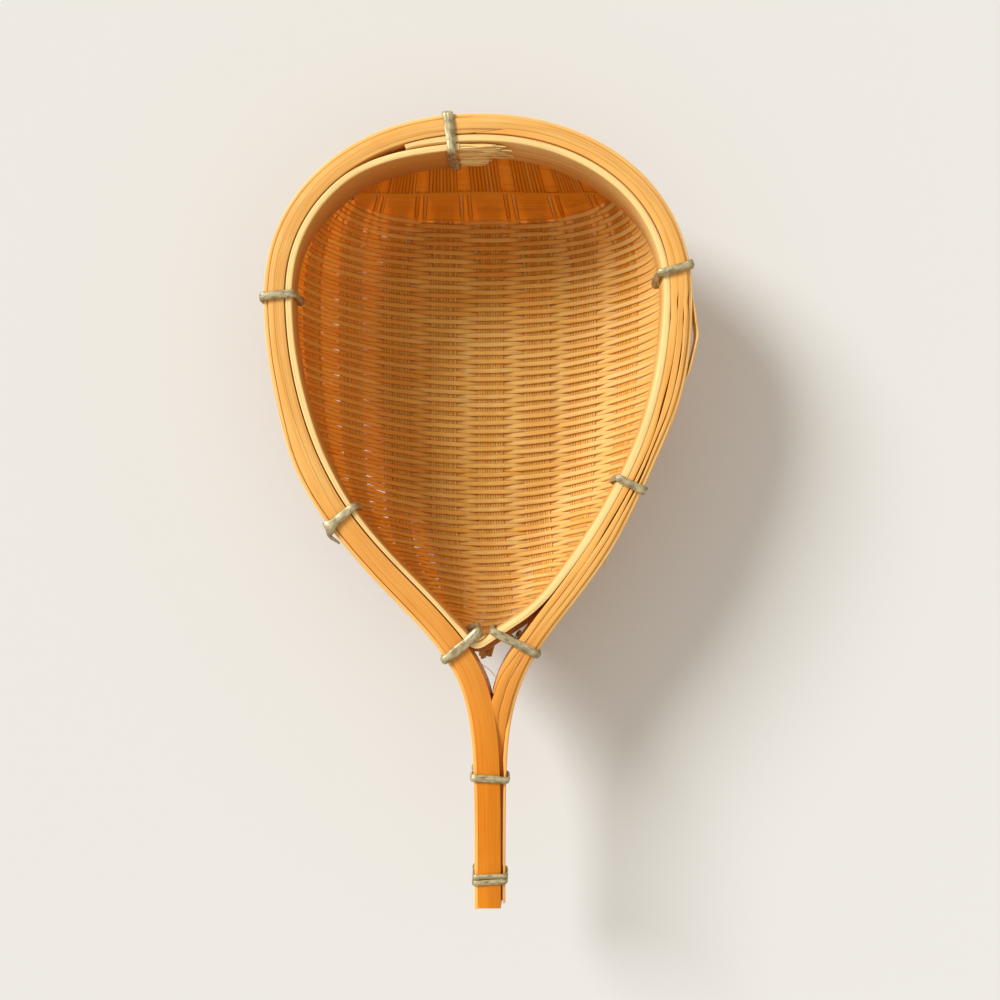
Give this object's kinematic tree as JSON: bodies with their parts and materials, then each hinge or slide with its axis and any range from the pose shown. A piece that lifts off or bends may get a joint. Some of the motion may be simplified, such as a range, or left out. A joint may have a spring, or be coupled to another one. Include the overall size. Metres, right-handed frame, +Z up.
{
  "type": "scoop basket",
  "caption": "Small teardrop scoop basket: a woven bamboo bowl clamped between hoops and wired to a bent lath hoop whose two ends form a straight handle.",
  "frame": {"origin": "under the middle of the woven floor, on the surface that the basket stands on", "axes": "+Y from the handle to the back wall, +X to the right with the handle towards the viewer, +Z up"},
  "size_m": [0.0891, 0.161, 0.0296],
  "materials": {
    "bamboo_hoop": "smooth, oiled",
    "bamboo_inner_hoop": "split, pale",
    "bamboo_binder": "split, rough",
    "bamboo_rib": "fine splints",
    "bamboo_weft": "fine splints",
    "bamboo_band": "split, satin",
    "tie_wire": "dull galvanised"
  },
  "bodies": {
    "root": {"handle_hoop_skin": "bamboo_hoop", "handle_hoop_core": "bamboo_hoop", "handle_hoop_inner_lath": "bamboo_hoop", "inner_hoop": "bamboo_inner_hoop", "binder_hoop": "bamboo_binder", "rib_left_4": "bamboo_rib", "rib_left_3": "bamboo_rib", "rib_left_2": "bamboo_rib", "rib_left_1": "bamboo_rib", "rib_middle": "bamboo_rib", "rib_right_1": "bamboo_rib", "rib_right_2": "bamboo_rib", "rib_right_3": "bamboo_rib", "weft_course_01": "bamboo_weft", "weft_course_02": "bamboo_weft", "weft_course_03": "bamboo_weft", "weft_course_04": "bamboo_weft", "weft_course_05": "bamboo_weft", "weft_course_06": "bamboo_weft", "weft_course_07": "bamboo_weft", "weft_course_08": "bamboo_weft", "weft_course_09": "bamboo_weft", "weft_course_10": "bamboo_weft", "weft_course_11": "bamboo_weft", "weft_course_12": "bamboo_weft", "weft_course_13": "bamboo_weft", "weft_course_14": "bamboo_weft", "weft_course_15": "bamboo_weft", "weft_course_16": "bamboo_weft", "weft_course_17": "bamboo_weft", "weft_course_18": "bamboo_weft", "weft_course_19": "bamboo_weft", "weft_course_20": "bamboo_weft", "weft_course_21": "bamboo_weft", "weft_course_22": "bamboo_weft", "weft_course_23": "bamboo_weft", "back_wall_band_lower": "bamboo_band", "back_wall_band_upper": "bamboo_band", "tie_back": "tie_wire", "tie_left": "tie_wire", "tie_right": "tie_wire", "tie_left_lower": "tie_wire", "tie_right_lower": "tie_wire", "tie_junction_left": "tie_wire", "tie_junction_right": "tie_wire", "tie_handle_upper": "tie_wire", "tie_handle_lower": "tie_wire"}
  },
  "joints": []
}
